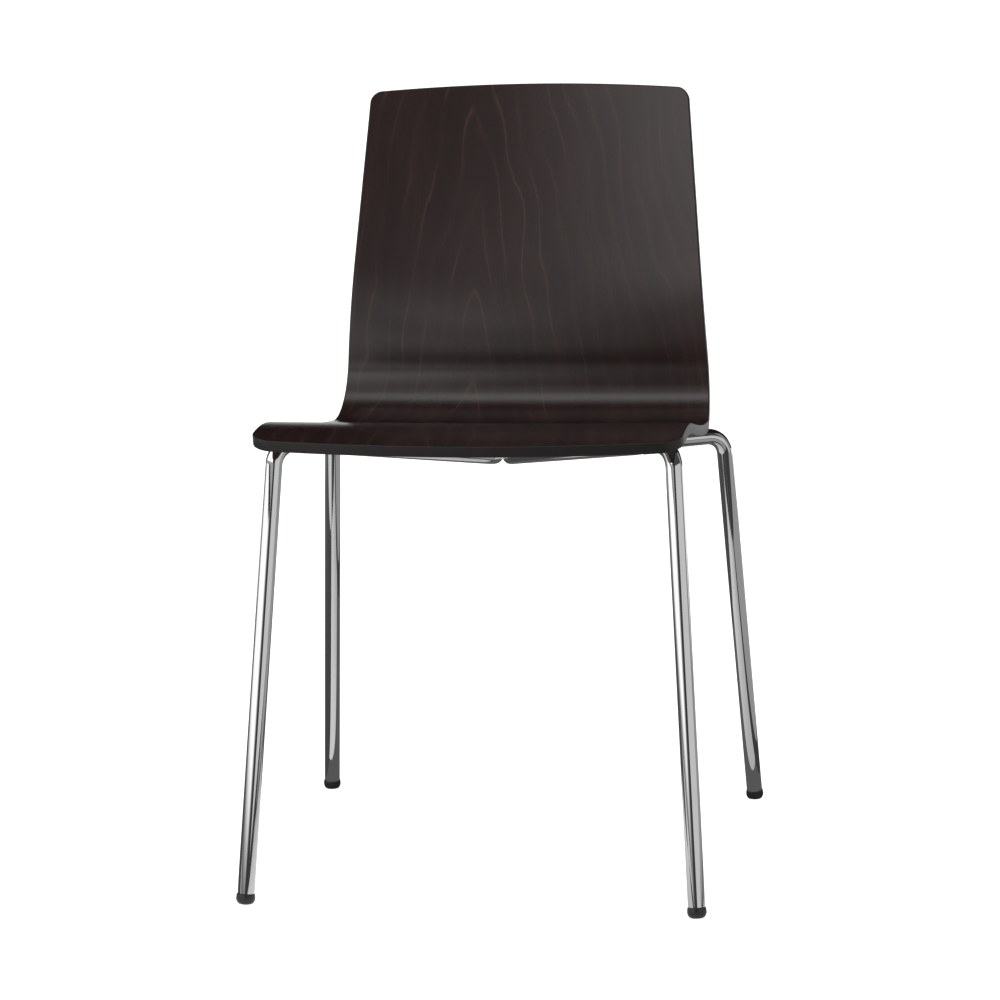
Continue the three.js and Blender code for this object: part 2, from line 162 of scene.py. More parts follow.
def eased(distance, low, high):
    t = np.clip((distance - low) / (high - low), 0, 1)
    return t * t * (3 - 2 * t)


def dip_at(distance):
    steps = ((0.0, SEAT_END), (BEND_END, BACK_START), (BACK_START, LENGTH))
    dip = DIPS[0]
    for (low, high), before, after in zip(steps, DIPS, DIPS[1:]):
        dip = dip + (after - before) * eased(distance, low, high)
    return dip


def place_on_shell(across, distance, depth):
    """From the flat sheet, metres across and along, to the bent shell."""
    y, z, slope = side_view(distance)
    side = across / half_width(distance)
    below = depth + dip_at(distance) * (1 - side * side)
    return np.stack([across, y + below * np.sin(slope), z - below * np.cos(slope)], -1)


def underside_point(distance, side):
    """Point under the sheet, its side running from -1 to 1."""
    across = np.array([side * half_width(distance)])
    return place_on_shell(across, np.array([distance]), THICKNESS)[0]


def unit(vector):
    return vector / np.linalg.norm(vector)


def underside_normal(distance, side, step=0.001, lean=0.01):
    """Unit normal of the underside, pointing into the sheet."""
    across = underside_point(distance, side + lean) - underside_point(distance, side - lean)
    along = underside_point(distance + step, side) - underside_point(distance - step, side)
    return unit(np.cross(across, along))


def lay_corner(row, waist):
    """One corner of the +X side: the way its screw points, its arm under the screw, its knee."""
    size = ROWS[row]
    side = size["screw_spacing"] / 2 / half_width(size["screw_back"])
    screw_up = underside_normal(size["screw_back"], side)
    arm = underside_point(size["screw_back"], side) - screw_up * STAND_OFF
    knee = arm + unit(arm - waist) * size["knee_beyond_screw"]
    return {"screw_up": screw_up, "arm": arm, "knee": knee, "foot": np.array(size["foot"])}


def lay_frame(rounds=8):
    """Corners and waist of the +X tube, the waist moved until its bend just clears the middle."""
    waist = underside_point(WAIST_BACK, 0.0) - np.array([0.0, 0.0, WAIST_DROP])
    for _ in range(rounds):
        laid = {row: lay_corner(row, waist) for row in ROWS}
        ahead = unit(waist - laid["front"]["knee"])
        onward = unit(laid["rear"]["knee"] - waist)
        turn = math.acos(ahead @ onward)
        inward = unit(onward - ahead * (onward @ ahead))
        centre = waist - ahead * WAIST_BEND * math.tan(turn / 2) + inward * WAIST_BEND
        plane = np.cross(ahead, inward)
        nearest = centre[0] - WAIST_BEND * math.sqrt(1 - plane[0] ** 2)
        waist[0] += TUBE_RADIUS + CLEARANCE / 2 - nearest
    places = {row: {part: Vector(place) for part, place in laid[row].items()} for row in ROWS}
    return places, Vector(waist)


LAID, WAIST = lay_frame()


def corner_cut(side, radius, half):
    past = np.maximum(0, np.abs(side) * half - half + radius)
    return radius - np.sqrt(np.maximum(0, radius * radius - past * past))


def flat_sheet(inset, columns=72, corner_steps=12, rows=190):
    """Grid of points of the flat sheet, drawn in from its outline by the inset."""
    half_front = float(half_width(0.0)) - inset
    share = (FRONT_CORNER - inset) / half_front
    turn = np.sin(np.linspace(0, math.pi / 2, corner_steps + 1))[1:]
    right = np.concatenate([np.linspace(0, 1 - share, columns // 2 + 1), 1 - share * (1 - turn)])
    sides = np.concatenate([-right[:0:-1], right])
    lines = np.linspace(inset, LENGTH - inset, rows)
    side, line = np.meshgrid(sides, lines)
    bulge = 1 - side * side
    fade = 3 * FRONT_CORNER
    half_top = float(half_width(LENGTH)) - inset
    front = corner_cut(side, FRONT_CORNER - inset, half_front) - FRONT_BOW * bulge
    top = TOP_ARCH * bulge - corner_cut(side, TOP_CORNER - inset, half_top)
    along = (
        line
        + front * np.maximum(0, 1 - (line - inset) / fade)
        + top * np.maximum(0, 1 - (LENGTH - inset - line) / fade)
    )
    across = side * (half_width(along) - inset)
    return across, along


def outline_of(grid):
    """The grid's border, once round, without repeating a corner."""
    return np.concatenate([grid[0, :-1], grid[:-1, -1], grid[-1, :0:-1], grid[:0:-1, 0]])


def seat_shell():
    """Closed sheet with eased edges. Its UV map is the flat sheet; on the edge, round and through."""
    inset = EDGE_ROUND + EDGE_LAND
    across, along = flat_sheet(inset)
    rows, columns = across.shape
    border = np.stack([outline_of(across), outline_of(along)], -1)
    ahead = np.roll(border, -1, 0) - np.roll(border, 1, 0)
    out = np.stack([ahead[:, 1], -ahead[:, 0]], -1)
    out = out / np.linalg.norm(out, axis=1)[:, None]
    turns = np.linspace(0, math.pi / 2, 5)
    rounding = [(EDGE_LAND + EDGE_ROUND * math.sin(t), EDGE_ROUND * (1 - math.cos(t))) for t in turns]
    under = [(offset, THICKNESS - depth) for offset, depth in reversed(rounding)]
    rings = rounding + under
    points = [place_on_shell(across.ravel(), along.ravel(), np.zeros(across.size))]
    for offset, depth in rings:
        ring = border + out * offset
        points.append(place_on_shell(ring[:, 0], ring[:, 1], np.full(len(ring), depth)))
    points.append(place_on_shell(across.ravel(), along.ravel(), np.full(across.size, THICKNESS)))
    points = np.concatenate(points)

    top = np.arange(rows * columns).reshape(rows, columns)
    count = len(border)
    loops = [outline_of(top)]
    for i in range(len(rings)):
        loops.append(np.arange(count) + rows * columns + i * count)
    bottom = top + rows * columns + len(rings) * count
    loops.append(outline_of(bottom))

    def quads(a, b, c, d):
        return np.stack([a.ravel(), b.ravel(), c.ravel(), d.ravel()], -1)

    upper = quads(top[:-1, :-1], top[:-1, 1:], top[1:, 1:], top[1:, :-1])
    lower = quads(bottom[:-1, :-1], bottom[1:, :-1], bottom[1:, 1:], bottom[:-1, 1:])
    bands = [quads(p, n, np.roll(n, -1), np.roll(p, -1)) for p, n in zip(loops, loops[1:])]
    faces = np.concatenate([upper, lower] + bands)
    mesh = mesh_from("seat_shell", points, faces.tolist())
    smooth(mesh)

    steps = np.linalg.norm(np.roll(border, -1, 0) - border, axis=1)
    distance_round = np.concatenate([[0], np.cumsum(steps)])
    flat_uv = np.stack([across.ravel(), along.ravel()], -1)
    uvs = [flat_uv[upper].reshape(-1, 2), flat_uv[lower - bottom[0, 0]].reshape(-1, 2)]
    slots = [np.zeros(len(upper)), np.zeros(len(lower))]
    depths = [0.0] + [depth for _, depth in rings] + [THICKNESS]
    for i, band in enumerate(bands):
        low, high = distance_round[:-1], distance_round[1:]
        here, there = np.full(count, depths[i]), np.full(count, depths[i + 1])
        corners = [(low, here), (low, there), (high, there), (high, here)]
        if i in (0, len(bands) - 1):
            inner = border if i == 0 else border + out * EDGE_LAND
            outer = border + out * EDGE_LAND if i == 0 else border
            ring = [inner, outer, np.roll(outer, -1, 0), np.roll(inner, -1, 0)]
            uvs.append(np.stack(ring, 1).reshape(-1, 2))
            slots.append(np.zeros(count))
            continue
        uvs.append(np.stack([np.stack(c, -1) for c in corners], 1).reshape(-1, 2))
        slots.append(np.ones(count))
    mesh.uv_layers.new(name="sheet").data.foreach_set("uv", np.concatenate(uvs).ravel())
    mesh.polygons.foreach_set("material_index", np.concatenate(slots).astype(int))
    return new_object("bent_plywood_shell", mesh)


shell = seat_shell()
lowest_y = min(v.co.y for v in shell.data.vertices)
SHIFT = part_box("seat_shell")[0].y - lowest_y
shell.data.transform(Matrix.Translation((0, SHIFT, 0)))
MOVE = Vector((0, SHIFT, 0))


# Geometry Nodes -------------------------------------------------------------------


def new_tree(name, inputs):
    """A Geometry Nodes tree with its named inputs, given as (name, socket type, default)."""
    tree = bpy.data.node_groups.new(name, "GeometryNodeTree")
    tree.interface.new_socket("Geometry", in_out="INPUT", socket_type="NodeSocketGeometry")
    for label, kind, value in inputs:
        socket = tree.interface.new_socket(label, in_out="INPUT", socket_type=kind)
        if value is not None:
            socket.default_value = value
    tree.interface.new_socket("Geometry", in_out="OUTPUT", socket_type="NodeSocketGeometry")
    return tree, tree.nodes.new("NodeGroupInput"), tree.nodes.new("NodeGroupOutput")


def add(tree, kind, settings=None, inputs=None):
    """A node with its settings. An input is a value, or the output socket that feeds it."""
    node = tree.nodes.new(kind)
    for key, value in (settings or {}).items():
        setattr(node, key, value)
    for key, value in (inputs or {}).items():
        socket = node.inputs[key]
        if isinstance(value, bpy.types.NodeSocket):
            tree.links.new(value, socket)
        else:
            socket.default_value = value
    return node


def attribute(tree, name, kind):
    return add(tree, "GeometryNodeInputNamedAttribute", {"data_type": kind}, {"Name": name}).outputs[0]


def finished(tree, solid, source, result):
    """Ends a tree: smooth with sharp creases, instances made real, and the material set."""
    crease = add(tree, "GeometryNodeInputMeshEdgeAngle")
    sharp = add(tree, "FunctionNodeCompare", {"operation": "GREATER_THAN"}, {0: crease.outputs[0]})
    tree.links.new(source.outputs["Crease angle"], sharp.inputs[1])
    real = add(tree, "GeometryNodeRealizeInstances", None, {0: solid})
    soft = add(tree, "GeometryNodeSetShadeSmooth", None, {0: real.outputs[0]})
    creased = add(
        tree,
        "GeometryNodeSetShadeSmooth",
        {"domain": "EDGE"},
        {"Geometry": soft.outputs[0], "Selection": sharp.outputs[0], "Shade Smooth": False},
    )
    coated = add(
        tree,
        "GeometryNodeSetMaterial",
        None,
        {"Geometry": creased.outputs[0], "Material": source.outputs["Material"]},
    )
    tree.links.new(coated.outputs[0], result.inputs["Geometry"])
    return tree


CREASE = ("Crease angle", "NodeSocketFloat", math.radians(38))
COATING = ("Material", "NodeSocketMaterial", None)


def grown(name, base, tree, values):
    """Runs a tree on a base mesh and keeps the result as a plain mesh."""
    piece = new_object(name, base)
    modifier = piece.modifiers.new("grow", "NODES")
    modifier.node_group = tree
    for item in tree.interface.items_tree:
        if item.item_type == "SOCKET" and item.in_out == "INPUT" and item.name in values:
            modifier[item.identifier] = values[item.name]
    graph = bpy.context.evaluated_depsgraph_get()
    mesh = bpy.data.meshes.new_from_object(piece.evaluated_get(graph))
    mesh.name = name
    piece.modifiers.remove(modifier)
    piece.data = mesh
    bpy.data.meshes.remove(base)
    return piece


def polyline(name, points, attributes):
    """Points joined in a line, with an attribute for each point."""
    edges = [(i, i + 1) for i in range(len(points) - 1)]
    mesh = bpy.data.meshes.new(name)
    mesh.from_pydata([tuple(p) for p in points], edges, [])
    for label, values in attributes.items():
        vector = isinstance(values[0], Vector)
        kind = "FLOAT_VECTOR" if vector else "FLOAT"
        layer = mesh.attributes.new(label, kind, "POINT")
        for i, value in enumerate(values):
            if vector:
                layer.data[i].vector = value
            else:
                layer.data[i].value = value
    return mesh


def places(name, points, axes):
    """Loose points, each with the axis of the piece that stands there."""
    mesh = polyline(name, points, {"axis": axes})
    bare = bmesh.new()
    bare.from_mesh(mesh)
    bmesh.ops.delete(bare, geom=bare.edges[:], context="EDGES_FACES")
    bare.to_mesh(mesh)
    bare.free()
    return mesh


# Materials --------------------------------------------------------------------------


class Paint:
    """A node material for one finish, with short calls for the maths of its pattern."""

    def __init__(self, name):
        self.material = bpy.data.materials.new(name)
        self.material.use_nodes = True
        self.tree = self.material.node_tree
        self.shader = self.tree.nodes["Principled BSDF"]
        self.output = self.tree.nodes["Material Output"]

    def add(self, kind, settings=None, inputs=None):
        return add(self.tree, kind, settings, inputs)

    def math(self, operation, first, second=0.0, third=0.0, clamp=False):
        settings = {"operation": operation, "use_clamp": clamp}
        return self.add("ShaderNodeMath", settings, {0: first, 1: second, 2: third}).outputs[0]

    def ramp(self, value, low, high, to_low=0.0, to_high=1.0):
        settings = {"interpolation_type": "SMOOTHSTEP", "clamp": True}
        inputs = {0: value, 1: low, 2: high, 3: to_low, 4: to_high}
        return self.add("ShaderNodeMapRange", settings, inputs).outputs[0]

    def mix(self, share, first, second):
        inputs = {"Factor": share, "A": first, "B": second}
        node = self.add("ShaderNodeMix", {"data_type": "RGBA"})
        for key, value in inputs.items():
            sockets = [k for k in node.inputs if k.name == key]
            socket = sockets[0] if key == "Factor" else next(k for k in sockets if k.type == "RGBA")
            if isinstance(value, bpy.types.NodeSocket):
                self.tree.links.new(value, socket)
            else:
                socket.default_value = value
        return next(k for k in node.outputs if k.type == "RGBA")

    def noise(self, vector, scale, detail=2.0, roughness=0.5):
        inputs = {"Vector": vector, "Scale": scale, "Detail": detail, "Roughness": roughness}
        return self.add("ShaderNodeTexNoise", None, inputs).outputs["Fac"]

    def stretched(self, vector, x, y, z=1.0, shift=(0.0, 0.0, 0.0)):
        inputs = {"Vector": vector, "Scale": (x, y, z), "Location": shift}
        return self.add("ShaderNodeMapping", None, inputs).outputs[0]

    def set(self, **values):
        for key, value in values.items():
            socket = self.shader.inputs[key.replace("_", " ")]
            if isinstance(value, bpy.types.NodeSocket):
                self.tree.links.new(value, socket)
            else:
                socket.default_value = value

    def bump(self, height, distance, strength=1.0):
        inputs = {"Height": height, "Distance": distance, "Strength": strength}
        node = self.add("ShaderNodeBump", None, inputs)
        self.tree.links.new(node.outputs[0], self.shader.inputs["Normal"])


HEART_OFFSET = 0.066
HEART_ROUNDING = 0.00009
GRAIN_SPACING = 0.021
PLY_THICKNESS = 0.0015


def lacquered_veneer():
    """Dark brown veneer under satin lacquer, its grain running along the sheet."""
    paint = Paint("dark_veneer_satin_lacquer")
    sheet = paint.add("ShaderNodeUVMap", {"uv_map": "sheet"}).outputs[0]
    parts = paint.add("ShaderNodeSeparateXYZ", None, {0: sheet})
    across, along = parts.outputs[0], parts.outputs[1]
    drift = paint.noise(paint.stretched(sheet, 7.0, 3.4), 1.0, 2.0)
    drift = paint.math("MULTIPLY_ADD", drift, 0.09, -0.045)
    wander = paint.noise(paint.stretched(sheet, 45.0, 9.0), 1.0, 2.0)
    wander = paint.math("MULTIPLY_ADD", wander, 0.010, -0.005)
    heart = paint.math("ADD", across, HEART_OFFSET)
    heart = paint.math("ADD", heart, drift)
    heart = paint.math("ADD", heart, wander)
    squared = paint.math("MULTIPLY_ADD", heart, heart, HEART_ROUNDING)
    arch = paint.math("SQRT", squared)
    climb = paint.math("MULTIPLY_ADD", along, 0.2, arch)
    ring = paint.math("DIVIDE", climb, GRAIN_SPACING)
    ring = paint.math("PINGPONG", ring, 0.5)
    line = paint.ramp(ring, 0.43, 0.5)
    halo = paint.ramp(ring, 0.2, 0.5)
    fade = paint.noise(paint.stretched(sheet, 26.0, 6.0, 1.0, (3.0, 1.0, 0.0)), 1.0, 2.0)
    line = paint.math("MULTIPLY", line, paint.ramp(fade, 0.44, 0.60))
    line = paint.math("MULTIPLY", line, paint.ramp(across, -0.02, 0.12, 1.0, 0.4))
    fibre = paint.noise(paint.stretched(sheet, 900.0, 14.0), 1.0, 3.0)
    pore = paint.noise(paint.stretched(sheet, 2200.0, 60.0, 1.0, (0.0, 7.0, 0.0)), 1.0, 1.0)
    pore = paint.ramp(pore, 0.62, 0.74)
    tone = paint.noise(paint.stretched(sheet, 22.0, 5.0, 1.0, (5.0, 5.0, 0.0)), 1.0, 3.0)
    wood = paint.mix(paint.ramp(tone, 0.3, 0.7), (0.0145, 0.0068, 0.0062, 1), (0.0205, 0.0100, 0.0092, 1))
    wood = paint.mix(paint.ramp(fibre, 0.35, 0.75, 0.0, 0.1), wood, (0.026, 0.0135, 0.0125, 1))
    wood = paint.mix(paint.math("MULTIPLY", halo, 0.25), wood, (0.028, 0.0145, 0.0130, 1))
    wood = paint.mix(paint.math("MULTIPLY", line, 0.42), wood, (0.062, 0.034, 0.027, 1))
    wood = paint.mix(paint.math("MULTIPLY", pore, 0.1), wood, (0.006, 0.004, 0.0035, 1))
    gloss = paint.math("MULTIPLY_ADD", fibre, 0.015, 0.24)
    paint.set(Base_Color=wood, Roughness=gloss, IOR=1.47)
    relief = paint.math("MULTIPLY_ADD", pore, -0.3, fibre)
    paint.bump(relief, 0.000004, 0.1)
    return paint.material


def edge_plies():
    """Cut edge of the sheet: thin stained plies, with end grain and long grain by turns."""
    paint = Paint("stained_ply_edges")
    sheet = paint.add("ShaderNodeUVMap", {"uv_map": "sheet"}).outputs[0]
    parts = paint.add("ShaderNodeSeparateXYZ", None, {0: sheet})
    ply = paint.math("DIVIDE", parts.outputs[1], PLY_THICKNESS)
    turn = paint.math("PINGPONG", ply, 1.0)
    end_grain = paint.ramp(turn, 0.42, 0.58)
    speck = paint.noise(paint.stretched(sheet, 900.0, 2600.0), 1.0, 2.0)
    streak = paint.noise(paint.stretched(sheet, 120.0, 3000.0), 1.0, 2.0)
    dark = paint.mix(speck, (0.005, 0.0042, 0.0038, 1), (0.010, 0.0080, 0.0072, 1))
    light = paint.mix(streak, (0.007, 0.0058, 0.0052, 1), (0.013, 0.0105, 0.0095, 1))
    wood = paint.mix(end_grain, light, dark)
    gloss = paint.math("MULTIPLY_ADD", speck, 0.08, 0.42)
    paint.set(Base_Color=wood, Roughness=gloss, IOR=1.45, Specular_IOR_Level=0.4)
    paint.bump(paint.math("MULTIPLY_ADD", end_grain, 0.4, speck), 0.00003, 0.5)
    return paint.material


def chrome_plate():
    paint = Paint("polished_chrome_plate")
    place = paint.add("ShaderNodeTexCoord").outputs["Object"]
    haze = paint.noise(paint.stretched(place, 55.0, 55.0, 18.0), 1.0, 3.0)
    rub = paint.noise(paint.stretched(place, 1500.0, 1500.0, 90.0), 1.0, 2.0)
    tint = paint.mix(haze, (0.60, 0.605, 0.60, 1), (0.66, 0.665, 0.665, 1))
    gloss = paint.math("MULTIPLY_ADD", haze, 0.035, 0.02)
    gloss = paint.math("MULTIPLY_ADD", rub, 0.02, gloss)
    paint.set(Base_Color=tint, Metallic=1.0, Roughness=gloss)
    return paint.material


def moulded_plastic():
    paint = Paint("black_moulded_plastic")
    place = paint.add("ShaderNodeTexCoord").outputs["Object"]
    skin = paint.noise(place, 2600.0, 2.0)
    scuff = paint.noise(paint.stretched(place, 90.0, 90.0, 220.0), 1.0, 3.0)
    dust = paint.ramp(scuff, 0.5, 0.75)
    colour = paint.mix(dust, (0.007, 0.0067, 0.0064, 1), (0.013, 0.0125, 0.012, 1))
    gloss = paint.math("MULTIPLY_ADD", dust, 0.12, 0.36)
    paint.set(Base_Color=colour, Roughness=gloss, IOR=1.5)
    paint.bump(skin, 0.00006, 0.6)
    return paint.material


def zinc_plate():
    paint = Paint("bright_zinc_plate")
    place = paint.add("ShaderNodeTexCoord").outputs["Object"]
    spangle = paint.noise(place, 700.0, 3.0)
    turning = paint.noise(paint.stretched(place, 300.0, 300.0, 4000.0), 1.0, 2.0)
    tint = paint.mix(spangle, (0.44, 0.45, 0.46, 1), (0.58, 0.585, 0.57, 1))
    gloss = paint.math("MULTIPLY_ADD", turning, 0.2, 0.18)
    paint.set(Base_Color=tint, Metallic=1.0, Roughness=gloss)
    paint.bump(turning, 0.00003, 0.4)
    return paint.material


def weld_metal():
    paint = Paint("plated_weld_bead")
    place = paint.add("ShaderNodeTexCoord").outputs["Object"]
    ripple = paint.noise(place, 900.0, 3.0)
    tint = paint.mix(ripple, (0.50, 0.50, 0.49, 1), (0.62, 0.62, 0.61, 1))
    paint.set(Base_Color=tint, Metallic=1.0, Roughness=paint.math("MULTIPLY_ADD", ripple, 0.2, 0.12))
    paint.bump(ripple, 0.00008, 0.6)
    return paint.material


VENEER = lacquered_veneer()
PLIES = edge_plies()
CHROME = chrome_plate()
PLASTIC = moulded_plastic()
ZINC = zinc_plate()
WELD = weld_metal()

shell.data.materials.append(VENEER)
shell.data.materials.append(PLIES)
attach(shell, "root")
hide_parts("seat_shell")


# Frame tubes ----------------------------------------------------------------------


def tube_tree():
    """Bent tube: a line of corners, each bent to its own radius, drilled for the screw heads."""
    tree, source, result = new_tree(
        "bent_tube",
        (
            ("Tube radius", "NodeSocketFloat", TUBE_RADIUS),
            ("Sides", "NodeSocketInt", 96),
            ("Steps in a bend", "NodeSocketInt", 40),
            ("Screw holes", "NodeSocketObject", None),
            CREASE,
            COATING,
        ),
    )
    line = add(tree, "GeometryNodeMeshToCurve", None, {0: source.outputs["Geometry"]})
    bent = add(
        tree,
        "GeometryNodeFilletCurve",
        {"mode": "POLY"},
        {
            "Curve": line.outputs[0],
            "Count": source.outputs["Steps in a bend"],
            "Radius": attribute(tree, "bend_radius", "FLOAT"),
        },
    )
    ring = add(
        tree,
        "GeometryNodeCurvePrimitiveCircle",
        None,
        {"Resolution": source.outputs["Sides"], "Radius": source.outputs["Tube radius"]},
    )
    solid = add(
        tree,
        "GeometryNodeCurveToMesh",
        None,
        {"Curve": bent.outputs[0], "Profile Curve": ring.outputs["Curve"], "Fill Caps": True},
    )
    holes = add(tree, "GeometryNodeObjectInfo", None, {"Object": source.outputs["Screw holes"]})
    drilled = add(tree, "GeometryNodeMeshBoolean", {"operation": "DIFFERENCE"}, {0: solid.outputs[0]})
    tree.links.new(holes.outputs["Geometry"], drilled.inputs[1])
    return finished(tree, drilled.outputs[0], source, result)


def turned(name, profile, sides):
    """Closed mesh turned about +Z from (radius, height) pairs that start and end on the axis."""
    inner = profile[1:-1]
    angles = [2 * math.pi * k / sides for k in range(sides)]
    points = [(r * math.cos(a), r * math.sin(a), z) for r, z in inner for a in angles]
    points += [(0, 0, profile[0][1]), (0, 0, profile[-1][1])]
    first, last = len(points) - 2, len(points) - 1
    top = (len(inner) - 1) * sides
    faces = []
    for k in range(sides):
        n = (k + 1) % sides
        faces.append((first, n, k))
        faces.append((last, top + k, top + n))
        for i in range(len(inner) - 1):
            low, high = i * sides, (i + 1) * sides
            faces.append((low + k, low + n, high + n, high + k))
    return mesh_from(name, points, faces)


def rod_between(start, end, radius, sides=40):
    """Closed rod as bmesh, to drill with."""
    along = end - start
    turn = along.to_track_quat("Z", "Y").to_matrix().to_4x4()
    rod = bmesh.new()
    bmesh.ops.create_cone(
        rod,
        cap_ends=True,
        segments=sides,
        radius1=radius,
        radius2=radius,
        depth=along.length,
        matrix=Matrix.Translation((start + end) / 2) @ turn,
    )
    return rod


def joined(name, parts):
    mesh = bpy.data.meshes.new(name)
    whole = bmesh.new()
    for part in parts:
        part.to_mesh(mesh)
        whole.from_mesh(mesh)
        part.free()
    whole.to_mesh(mesh)
    whole.free()
    return mesh


def leg_up(row):
    return (LAID[row]["knee"] - LAID[row]["foot"]).normalized()


def tube_line(hand):
    """Corners of one tube's centre line, cut short where the foot caps begin."""
    rise = CAP_HEIGHT + CLEARANCE
    front, rear = [LAID[row]["foot"] + leg_up(row) * rise for row in ROWS]
    line = [front, LAID["front"]["knee"], WAIST, LAID["rear"]["knee"], rear]
    return [mirrored(p, hand) + MOVE for p in line]


BENDS = (0.0, KNEE_BEND, WAIST_BEND, KNEE_BEND, 0.0)
HEAD_HOLE_RADIUS = 0.00505
DRILL_BELOW = 0.02


def head_holes(hand):
    """Drills from below into each arm, up to the top of its bore; removed once the tube is made."""
    rods = []
    for row in ROWS:
        centre = mirrored(LAID[row]["arm"], hand) + MOVE
        up = mirrored(LAID[row]["screw_up"], hand)
        rods.append(rod_between(centre - up * DRILL_BELOW, centre + up * BORE_RADIUS, HEAD_HOLE_RADIUS))
    return new_object("head_drill", joined("head_drill", rods))


TUBE_TREE = tube_tree()
tubes = {}
for hand_name, hand in HANDS.items():
    drill = head_holes(hand)
    line = polyline(f"tube_line_{hand_name}", tube_line(hand), {"bend_radius": list(BENDS)})
    values = {"Screw holes": drill, "Material": CHROME}
    tube = grown(f"bent_tube_{hand_name}", line, TUBE_TREE, values)
    tubes[hand_name] = tube
    bpy.data.objects.remove(drill)
    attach(tube, "root")
    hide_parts(f"frame_tube_{hand_name}")


# Small pieces on their places -------------------------------------------------------


def placing_tree():
    """Copies of one piece, each stood on its place, with a first and a last cut."""
    tree, source, result = new_tree(
        "pieces_on_places",
        (
            ("Piece", "NodeSocketObject", None),
            ("Socket cut", "NodeSocketObject", None),
            ("Floor cut", "NodeSocketObject", None),
            CREASE,
            COATING,
        ),
    )
    shape = {}
    for label in ("Piece", "Socket cut", "Floor cut"):
        info = add(tree, "GeometryNodeObjectInfo", None, {"Object": source.outputs[label]})
        shape[label] = info.outputs["Geometry"]
    first = add(tree, "GeometryNodeMeshBoolean", {"operation": "DIFFERENCE"}, {0: shape["Piece"]})
    tree.links.new(shape["Socket cut"], first.inputs[1])
    stand = add(
        tree,
        "FunctionNodeAlignRotationToVector",
        {"axis": "Z"},
        {"Vector": attribute(tree, "axis", "FLOAT_VECTOR")},
    )
    copies = add(
        tree,
        "GeometryNodeInstanceOnPoints",
        None,
        {
            "Points": source.outputs["Geometry"],
            "Instance": first.outputs[0],
            "Rotation": stand.outputs[0],
        },
    )
    real = add(tree, "GeometryNodeRealizeInstances", None, {0: copies.outputs[0]})
    last = add(tree, "GeometryNodeMeshBoolean", {"operation": "DIFFERENCE"}, {0: real.outputs[0]})
    tree.links.new(shape["Floor cut"], last.inputs[1])
    return finished(tree, last.outputs[0], source, result)


def arc_points(centre, radius, first, last, steps):
    angles = np.radians(np.linspace(first, last, steps + 1))
    return [(centre[0] + radius * math.cos(a), centre[1] + radius * math.sin(a)) for a in angles]


CAP_RADIUS = 0.0101
CAP_RIM_RADIUS = 0.0097
CAP_RIM_EASE = 0.0009
CAP_SOLE_RADIUS = 0.0046
CAP_DOME = 0.0068
CAP_WEAR = 0.0008
CAP_STEM_RADIUS = 0.0064
CAP_STEM_TIP = 0.0056
CAP_STEM_TOP = 0.0285
CAP_STEM_TAPER = 0.001


def foot_cap_blank():
    """Domed cap with a soft rim and the stem that plugs into the tube."""
    swell = CAP_RADIUS - CAP_SOLE_RADIUS
    dome = [
        (CAP_SOLE_RADIUS + swell * math.sin(t), CAP_DOME * (1 - math.cos(t)) - CAP_WEAR)
        for t in np.linspace(0.0, math.pi / 2, 14)
    ]
    ease = CAP_RIM_EASE
    lip = arc_points((CAP_RIM_RADIUS - ease, CAP_HEIGHT - ease), ease, 8, 90, 5)
    stem = [
        (CAP_STEM_RADIUS, CAP_HEIGHT),
        (CAP_STEM_RADIUS, CAP_STEM_TOP - CAP_STEM_TAPER),
        (CAP_STEM_TIP, CAP_STEM_TOP),
    ]
    profile = [(0.0, -CAP_WEAR)] + dome + lip + stem + [(0.0, CAP_STEM_TOP)]
    return turned("foot_cap_blank", profile, 64)


HEAD_RADIUS = 0.00475
HEAD_FACE_RADIUS = 0.0032
HEAD_TOP = -0.00678
HEAD_BOTTOM = -0.01008
HEAD_DOME = 0.0025
SHANK_RADIUS = 0.003
SHANK_TIP_RADIUS = 0.002
SHANK_END = 0.0085
SHANK_TAPER = 0.001


def screw_blank():
    """Button-head screw, its origin at the top of the spacer's hole."""
    swell = HEAD_RADIUS - HEAD_FACE_RADIUS
    dome = [
        (HEAD_FACE_RADIUS + swell * math.sin(t), HEAD_BOTTOM + HEAD_DOME * (1 - math.cos(t)))
        for t in np.linspace(0.0, math.pi / 2, 8)
    ]
    shank = [
        (HEAD_RADIUS, HEAD_TOP),
        (SHANK_RADIUS, HEAD_TOP),
        (SHANK_RADIUS, SHANK_END - SHANK_TAPER),
        (SHANK_TIP_RADIUS, SHANK_END),
    ]
    profile = [(0.0, HEAD_BOTTOM)] + dome + shank + [(0.0, SHANK_END)]
    return turned("screw_blank", profile, 48)


def hexagon(name, across_flats, low, high):
    shape = bmesh.new()
    bmesh.ops.create_cone(
        shape,
        cap_ends=True,
        segments=6,
        radius1=across_flats / math.sqrt(3),
        radius2=across_flats / math.sqrt(3),
        depth=high - low,
        matrix=Matrix.Translation((0, 0, (low + high) / 2)),
    )
    return joined(name, [shape])


def block(name, low, high):
    shape = bmesh.new()
    size = [b - a for a, b in zip(low, high)]
    middle = [(a + b) / 2 for a, b in zip(low, high)]
    matrix = Matrix.Translation(middle) @ Matrix.Diagonal((*size, 1))
    bmesh.ops.create_cube(shape, size=1.0, matrix=matrix)
    return joined(name, [shape])


PLACING_TREE = placing_tree()


def set_on_places(name, blank, points, axes, material, tools):
    piece_tool = new_object(f"{name}_blank", blank)
    values = {"Piece": piece_tool, "Material": material}
    values.update(tools)
    piece = grown(name, places(name, points, axes), PLACING_TREE, values)
    for tool in [piece_tool, *tools.values()]:
        bpy.data.objects.remove(tool)
    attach(piece, "root")
    return piece


corners = [(row, hand_name, hand) for row in ROWS for hand_name, hand in HANDS.items()]

